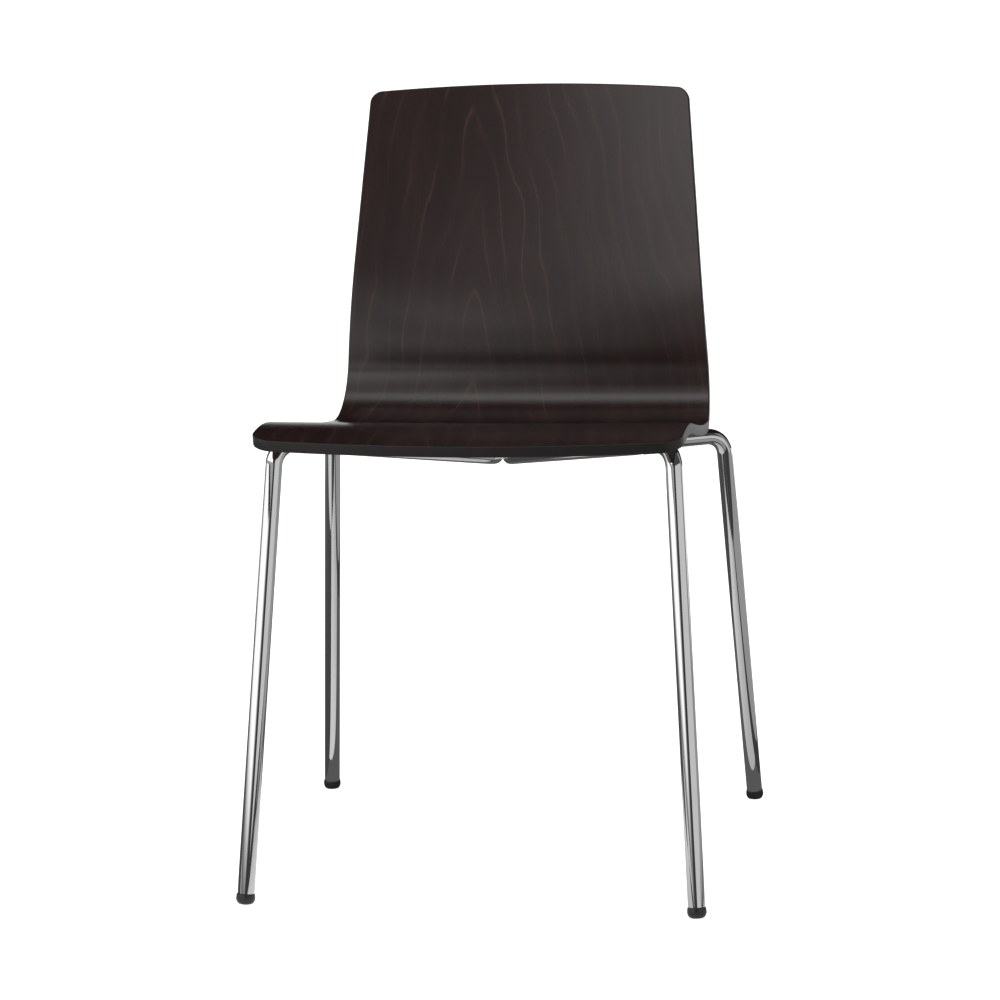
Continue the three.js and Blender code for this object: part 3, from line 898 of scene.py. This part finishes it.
cap_points = [mirrored(LAID[row]["foot"], hand) + MOVE for row, _, hand in corners]
cap_axes = [mirrored(leg_up(row), hand) for row, _, hand in corners]
floor_tool = new_object("floor_tool", block("floor_tool", (-1, -1, -0.1), (1, 1, 0.0)))
caps = set_on_places(
    "foot_caps", foot_cap_blank(), cap_points, cap_axes, PLASTIC, {"Floor cut": floor_tool}
)
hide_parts(*[f"foot_cap_{row}_{hand_name}" for row, hand_name, _ in corners])


def screw_place(row):
    """Top of the spacer's hole, where the screw passes into the insert."""
    return LAID[row]["arm"] + LAID[row]["screw_up"] * STAND_OFF


screw_points = [mirrored(screw_place(row), hand) + MOVE for row, _, hand in corners]
screw_axes = [mirrored(LAID[row]["screw_up"], hand) for row, _, hand in corners]
SOCKET_WIDTH = 0.004
SOCKET_MOUTH = -0.0125
SOCKET_BOTTOM = -0.0082
socket = hexagon("socket_tool", SOCKET_WIDTH, SOCKET_MOUTH, SOCKET_BOTTOM)
socket_tool = new_object("socket_tool", socket)
screws = set_on_places(
    "screws", screw_blank(), screw_points, screw_axes, ZINC, {"Socket cut": socket_tool}
)
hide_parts(*[f"screw_{row}_{hand_name}" for row, hand_name, _ in corners])


# Spacers --------------------------------------------------------------------------


SADDLE_WALL = 0.0026
SADDLE_LENGTH = 0.034
SADDLE_EASE = 0.0015
SADDLE_PINCH = 0.0012
SADDLE_TOP_GAP = 0.0004
HOLLOW_STEPS = 24
SADDLE_ENDS = ((-0.5, SADDLE_PINCH), (-0.465, 0.0), (0.465, 0.0), (0.5, SADDLE_PINCH))


def saddle_section(radius, height):
    """Outline of a spacer across its arm: a hollow that hugs the tube, and a flat, eased top."""
    side, ease = radius + SADDLE_WALL, SADDLE_EASE
    hollow = arc_points((0, 0), radius, 180, 0, HOLLOW_STEPS)
    right = arc_points((side - ease, height - ease), ease, 15, 90, 5)
    left = arc_points((-side + ease, height - ease), ease, 90, 165, 5)
    right = [(side, 0.0), (side, height - ease)] + right
    left = left + [(-side, height - ease), (-side, 0.0)]
    return hollow + right + left


def saddle(row, hand):
    """One spacer, drawn along its arm, with softened ends."""
    arm, up, knee = LAID[row]["arm"], LAID[row]["screw_up"], LAID[row]["knee"]
    section = saddle_section(TUBE_RADIUS + CLEARANCE, STAND_OFF - SADDLE_TOP_GAP)
    out = (knee - WAIST).normalized()
    along = (out - up * out.dot(up)).normalized()
    across = up.cross(along)
    points, rings = [], []
    for share, pinch in SADDLE_ENDS:
        ring = []
        for i, (a, u) in enumerate(section):
            draw = pinch if i > HOLLOW_STEPS else 0.0
            a = a - math.copysign(min(draw, abs(a)), a)
            u = u - (draw if u > 0.001 else 0.0)
            ring.append(len(points))
            points.append(arm + along * (share * SADDLE_LENGTH) + across * a + up * u)
        rings.append(ring)
    count = len(section)
    faces = [list(rings[0])[::-1], list(rings[-1])]
    for low, high in zip(rings, rings[1:]):
        faces += [(low[k], low[(k + 1) % count], high[(k + 1) % count], high[k]) for k in range(count)]
    points = [mirrored(p, hand) + MOVE for p in points]
    mesh = mesh_from("saddle", points, faces)
    bare = bmesh.new()
    bare.from_mesh(mesh)
    bmesh.ops.recalc_face_normals(bare, faces=bare.faces)
    return bare


def spacer(row, hand_name, hand):
    name = f"spacer_{row}_{hand_name}"
    mesh = joined(name, [saddle(row, hand)])
    smooth(mesh)
    mesh.set_sharp_from_angle(angle=math.radians(32))
    mesh.materials.append(PLASTIC)
    piece = new_object(f"saddle_{name}", mesh)
    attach(piece, "root")
    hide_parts(name)


for row, hand_name, hand in corners:
    spacer(row, hand_name, hand)


# Waist bridge and its welds ---------------------------------------------------------


BRIDGE_SIZE = (0.0298, 0.0455, 0.0118)
BRIDGE_CORNER = 0.004
BRIDGE_RIM = 0.0008
BRIDGE_RAISE = 0.0061
ARM_TO_ARM = LAID["rear"]["arm"] - LAID["front"]["arm"]
BRIDGE_TILT = math.atan2(ARM_TO_ARM.z, ARM_TO_ARM.y) / 2


def waist_bridge():
    """Plate over both tubes at the waist, its underside shaped to them."""
    low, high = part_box("waist_bridge")
    plate = bmesh.new()
    bmesh.ops.create_cube(plate, size=1.0, matrix=Matrix.Diagonal((*BRIDGE_SIZE, 1)))
    upright = [e for e in plate.edges if abs(e.verts[0].co.z - e.verts[1].co.z) > 0.001]
    bmesh.ops.bevel(plate, geom=upright, offset=BRIDGE_CORNER, segments=8, affect="EDGES", profile=0.5)
    top = BRIDGE_SIZE[2] / 2 - 0.0001
    rim = [e for e in plate.edges if min(v.co.z for v in e.verts) > top]
    bmesh.ops.bevel(plate, geom=rim, offset=BRIDGE_RIM, segments=3, affect="EDGES", profile=0.5)
    middle_x = (low.x + high.x) / 2
    place = Matrix.Translation((middle_x, WAIST.y + SHIFT, WAIST.z + BRIDGE_RAISE))
    plate.transform(place @ Matrix.Rotation(BRIDGE_TILT, 4, "X"))
    base = joined("waist_bridge_plate", [plate])
    cutters = []
    for hand in HANDS.values():
        line = polyline("cutter_line", tube_line(hand), {"bend_radius": list(BENDS)})
        values = {"Tube radius": TUBE_RADIUS + CLEARANCE, "Material": CHROME}
        cutters.append(grown("tube_cutter", line, TUBE_TREE, values))
    piece = new_object("waist_bridge_plate", base)
    for cutter in cutters:
        cut = piece.modifiers.new("seat_on_tube", "BOOLEAN")
        cut.object = cutter
        cut.operation = "DIFFERENCE"
    graph = bpy.context.evaluated_depsgraph_get()
    mesh = bpy.data.meshes.new_from_object(piece.evaluated_get(graph))
    piece.modifiers.clear()
    piece.data = mesh
    for cutter in cutters:
        bpy.data.objects.remove(cutter)
    smooth(mesh)
    mesh.set_sharp_from_angle(angle=math.radians(35))
    mesh.materials.clear()
    mesh.materials.append(CHROME)
    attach(piece, "root")
    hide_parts("waist_bridge")


waist_bridge()


def weld_tree():
    """Weld bead: overlapping drops along a line, each a little different."""
    tree, source, result = new_tree(
        "weld_bead",
        (
            ("Bead radius", "NodeSocketFloat", 0.0012),
            ("Ripple pitch", "NodeSocketFloat", 0.0009),
            ("Seed", "NodeSocketInt", 7),
            CREASE,
            COATING,
        ),
    )
    line = add(tree, "GeometryNodeMeshToCurve", None, {0: source.outputs["Geometry"]})
    drops = add(
        tree,
        "GeometryNodeCurveToPoints",
        {"mode": "LENGTH"},
        {"Curve": line.outputs[0], "Length": source.outputs["Ripple pitch"]},
    )
    drop = add(
        tree,
        "GeometryNodeMeshUVSphere",
        None,
        {"Segments": 16, "Rings": 10, "Radius": source.outputs["Bead radius"]},
    )
    size = add(tree, "FunctionNodeRandomValue", {"data_type": "FLOAT"}, {2: 0.85, 3: 1.1})
    tree.links.new(source.outputs["Seed"], size.inputs["Seed"])
    copies = add(
        tree,
        "GeometryNodeInstanceOnPoints",
        None,
        {
            "Points": drops.outputs["Points"],
            "Instance": drop.outputs[0],
            "Rotation": drops.outputs["Rotation"],
            "Scale": size.outputs[1],
        },
    )
    return finished(tree, copies.outputs[0], source, result)


WELD_LENGTH = 0.038
WELD_OFFSET = 0.0156
ABOVE_BRIDGE = 0.03


def weld_line(hand_name, hand, steps=24):
    """Line along the foot of the bridge, on the tube beside it."""
    points = []
    for k in range(steps + 1):
        y = WAIST.y + SHIFT + (k / steps - 0.5) * WELD_LENGTH
        start = Vector((hand * WELD_OFFSET, y, WAIST.z + ABOVE_BRIDGE))
        hit, where, _, _ = tubes[hand_name].ray_cast(start, Vector((0, 0, -1)))
        if hit:
            points.append(where)
    return points


WELD_TREE = weld_tree()
for hand_name, hand in HANDS.items():
    line = polyline(f"weld_line_{hand_name}", weld_line(hand_name, hand), {})
    bead = grown(f"weld_bead_{hand_name}", line, WELD_TREE, {"Material": WELD})
    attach(bead, "root")

for row, hand_name, _ in corners:
    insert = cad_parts[f"threaded_insert_{row}_{hand_name}"]
    insert.data.materials.clear()
    insert.data.materials.append(ZINC)


# Studio ---------------------------------------------------------------------------

ROOM = 1.3
ROOM_LIGHT = 0.95
DUSK = 0.012


def set_world():
    """White to the eye, softer as light, and dim in reflections, where the cards show."""
    world = bpy.data.worlds.new("white_room")
    bpy.context.scene.world = world
    world.use_nodes = True
    tree = world.node_tree
    path = add(tree, "ShaderNodeLightPath").outputs
    inputs = {0: path["Is Diffuse Ray"], 3: ROOM, 4: ROOM_LIGHT}
    lit = add(tree, "ShaderNodeMapRange", None, inputs)
    inputs = {0: path["Is Glossy Ray"], 3: lit.outputs[0], 4: DUSK}
    level = add(tree, "ShaderNodeMapRange", None, inputs)
    background = tree.nodes["Background"]
    background.inputs["Color"].default_value = (1, 1, 1, 1)
    tree.links.new(level.outputs[0], background.inputs["Strength"])


def facing(place, target):
    return (Vector(target) - Vector(place)).to_track_quat("-Z", "Y").to_matrix().to_4x4()


def softbox(name, place, target, size, brightness):
    """Large soft light; brightness is how bright its face looks, with white paper at 1."""
    lamp = bpy.data.lights.new(name, "AREA")
    lamp.shape = "RECTANGLE"
    lamp.size, lamp.size_y = size
    lamp.energy = brightness * math.pi * size[0] * size[1]
    light = bpy.data.objects.new(name, lamp)
    bpy.context.scene.collection.objects.link(light)
    light.matrix_world = Matrix.Translation(place) @ facing(place, target)
    light.visible_camera = False


def screen(name, points, near, far=None, foot=1.0):
    """Studio card that only shows in reflections.

    It may fade towards its second corner, and dim towards its foot to the share given.
    """
    far = near if far is None else far
    paint = bpy.data.materials.new(name)
    paint.use_nodes = True
    tree = paint.node_tree
    tree.nodes.clear()
    along = add(tree, "ShaderNodeUVMap", {"uv_map": "card"})
    parts = add(tree, "ShaderNodeSeparateXYZ", None, {0: along.outputs[0]})
    fade = {"interpolation_type": "SMOOTHSTEP"}
    across = add(tree, "ShaderNodeMapRange", fade, {0: parts.outputs[0], 3: near, 4: far})
    upward = add(tree, "ShaderNodeMapRange", fade, {0: parts.outputs[1], 3: foot, 4: 1.0})
    settings = {"operation": "MULTIPLY"}
    level = add(tree, "ShaderNodeMath", settings, {0: across.outputs[0], 1: upward.outputs[0]})
    glow = add(tree, "ShaderNodeEmission", None, {"Strength": level.outputs[0]})
    add(tree, "ShaderNodeOutputMaterial", None, {"Surface": glow.outputs[0]})
    mesh = mesh_from(name, points, [(0, 1, 2, 3)])
    mesh.uv_layers.new(name="card").data.foreach_set("uv", (0, 0, 1, 0, 1, 1, 0, 1))
    mesh.materials.append(paint)
    card = new_object(name, mesh)
    card.visible_camera = False
    card.visible_shadow = False
    card.visible_diffuse = False


def standing(name, wall, heights, near, far=None, foot=1.0):
    """Upright card along a line of the floor plan, between two heights."""
    (start, end), (low, high) = wall, heights
    points = [(*start, low), (*end, low), (*end, high), (*start, high)]
    screen(name, points, near, far, foot)


def lying(name, low, high, near, far=None):
    """Card laid on the floor."""
    (x0, y0), (x1, y1) = low, high
    points = [(x, y, CARD_LIFT) for x, y in ((x0, y0), (x1, y0), (x1, y1), (x0, y1))]
    screen(name, points, near, far)


# Floor plan of the studio: its corners, from the left wall's end round the front to the right.
LEFT_END = (-2.0, -0.05)
LEFT_CORNER = (-0.75, -1.75)
FRONT_MIDDLE = (0.0, -2.03)
RIGHT_CORNER = (0.75, -1.95)
RIGHT_END = (2.2, 0.1)
LEFT_WALL = (LEFT_END, LEFT_CORNER)
FRONT_LEFT_WALL = (LEFT_CORNER, FRONT_MIDDLE)
WHOLE_LEFT_WALL = (LEFT_END, FRONT_MIDDLE)
FRONT_RIGHT_WALL = (FRONT_MIDDLE, RIGHT_CORNER)
RIGHT_WALL = (RIGHT_CORNER, RIGHT_END)
RIGHT_REAR_WALL = (RIGHT_END, (2.4, 1.3))
LEFT_REAR_WALL = (LEFT_END, (-2.0, 1.1))
REAR_WALL = ((-1.9, 2.6), (1.9, 2.6))
LOW = (0.0, 0.28)
MIDDLE = (0.28, 0.66)
SLOT = (0.66, 0.85)
CEILING = 2.6
FLOOR_EDGE = 2.6
CARD_LIFT = 0.0005


def light_studio():
    set_world()
    standing("left_low_panel", FRONT_LEFT_WALL, LOW, 1.6, 0.1, 0.2)
    standing("left_end_low_panel", LEFT_WALL, LOW, 1.5, 1.6, 0.1)
    standing("left_mid_panel", FRONT_LEFT_WALL, MIDDLE, 1.6, 0.1)
    standing("left_end_mid_panel", LEFT_WALL, MIDDLE, 1.5, 1.6)
    standing("left_panel_gap", WHOLE_LEFT_WALL, SLOT, 0.5)
    foot = [(*LEFT_END, SLOT[1]), (-0.36, -1.9, SLOT[1])]
    screen("left_high_panel", foot + [(-0.66, -1.78, CEILING), (*LEFT_END, CEILING)], 1.1, 1.1, 2.2)
    standing("camera_gap", FRONT_RIGHT_WALL, (0.0, CEILING), 0.06)
    standing("right_panel", RIGHT_WALL, (0.0, 0.9), 0.8)
    standing("right_high_panel", RIGHT_WALL, (0.9, 2.4), 0.08)
    standing("right_far_card", RIGHT_REAR_WALL, (0.0, 2.2), 0.35)
    standing("left_gap", LEFT_REAR_WALL, (0.0, 2.2), 0.25)
    standing("rear_card", REAR_WALL, (0.0, 0.87), 1.1)
    softbox("overhead_panel", (0.1, -0.66, CEILING), (0.1, -0.66, 0), (1.9, 0.7), 2.3)
    rear_edge = [(-1.3, -1.02, CEILING), (0.5, -1.02, CEILING)]
    screen("overhead_front", rear_edge + [(0.5, -1.7, 2.3), (-1.3, -1.7, 2.3)], 1.0, 0.4)
    front_edge = [(-1.0, -0.31, CEILING), (1.2, -0.31, CEILING)]
    screen("overhead_rear", front_edge + [(1.2, 0.0, CEILING), (-1.0, 0.0, CEILING)], 0.4, 1.1)
    edge = FLOOR_EDGE
    lying("under_floor", (-0.3, -0.45), (0.36, 0.16), 0.9, 0.62)
    lying("rear_floor", (-0.3, 0.16), (0.36, edge), 0.14)
    lying("left_floor", (-edge, -0.45), (-0.3, edge), 0.15, 0.08)
    lying("shaded_floor", (0.36, -0.45), (0.5, edge), 0.06)
    lying("right_floor", (0.5, -0.45), (edge, edge), 0.42)
    lying("front_left_floor", (-edge, -edge), (-0.5, -0.45), 0.3, 0.9)
    lying("front_floor", (-0.5, -edge), (-0.1, -0.45), 0.9, 0.06)
    lying("front_right_floor", (-0.1, -edge), (edge, -0.45), 0.06)


FLOOR_REACH = 30.0


def pale_floor():
    paint = Paint("pale_floor")
    place = paint.add("ShaderNodeTexCoord").outputs["Object"]
    cloud = paint.noise(place, 0.7, 3.0)
    paint.set(Base_Color=paint.mix(cloud, (0.58, 0.58, 0.58, 1), (0.62, 0.62, 0.62, 1)), Roughness=0.9)
    paint.set(Specular_IOR_Level=0.0, Emission_Color=(1, 1, 1, 1), Emission_Strength=0.85)
    side = FLOOR_REACH
    corners_of_floor = [(-side, -side, 0), (side, -side, 0), (side, side, 0), (-side, side, 0)]
    mesh = mesh_from("floor", corners_of_floor, [(0, 1, 2, 3)])
    mesh.materials.append(paint.material)
    new_object("floor", mesh)


CAMERA_AZIMUTH = math.radians(9.86)
CAMERA_ELEVATION = math.radians(8.92)
CAMERA_ROLL = math.radians(-1.10)
CAMERA_DISTANCE = 3.27313
CAMERA_LENS = 108.21
CAMERA_AIM = Vector((-0.00076, SHIFT, 0.38974))


def set_camera():
    level = math.cos(CAMERA_ELEVATION)
    back = Vector((math.sin(CAMERA_AZIMUTH) * level, -math.cos(CAMERA_AZIMUTH) * level, 0.0))
    back.z = math.sin(CAMERA_ELEVATION)
    data = bpy.data.cameras.new("camera")
    data.sensor_width = 36.0
    data.lens = CAMERA_LENS
    camera = bpy.data.objects.new("camera", data)
    bpy.context.scene.collection.objects.link(camera)
    look = (-back).to_track_quat("-Z", "Y").to_matrix().to_4x4()
    place = Matrix.Translation(CAMERA_AIM + back * CAMERA_DISTANCE)
    camera.matrix_world = place @ look @ Matrix.Rotation(CAMERA_ROLL, 4, "Z")
    bpy.context.scene.camera = camera


light_studio()
pale_floor()
set_camera()
bpy.context.scene.view_settings.view_transform = "Standard"
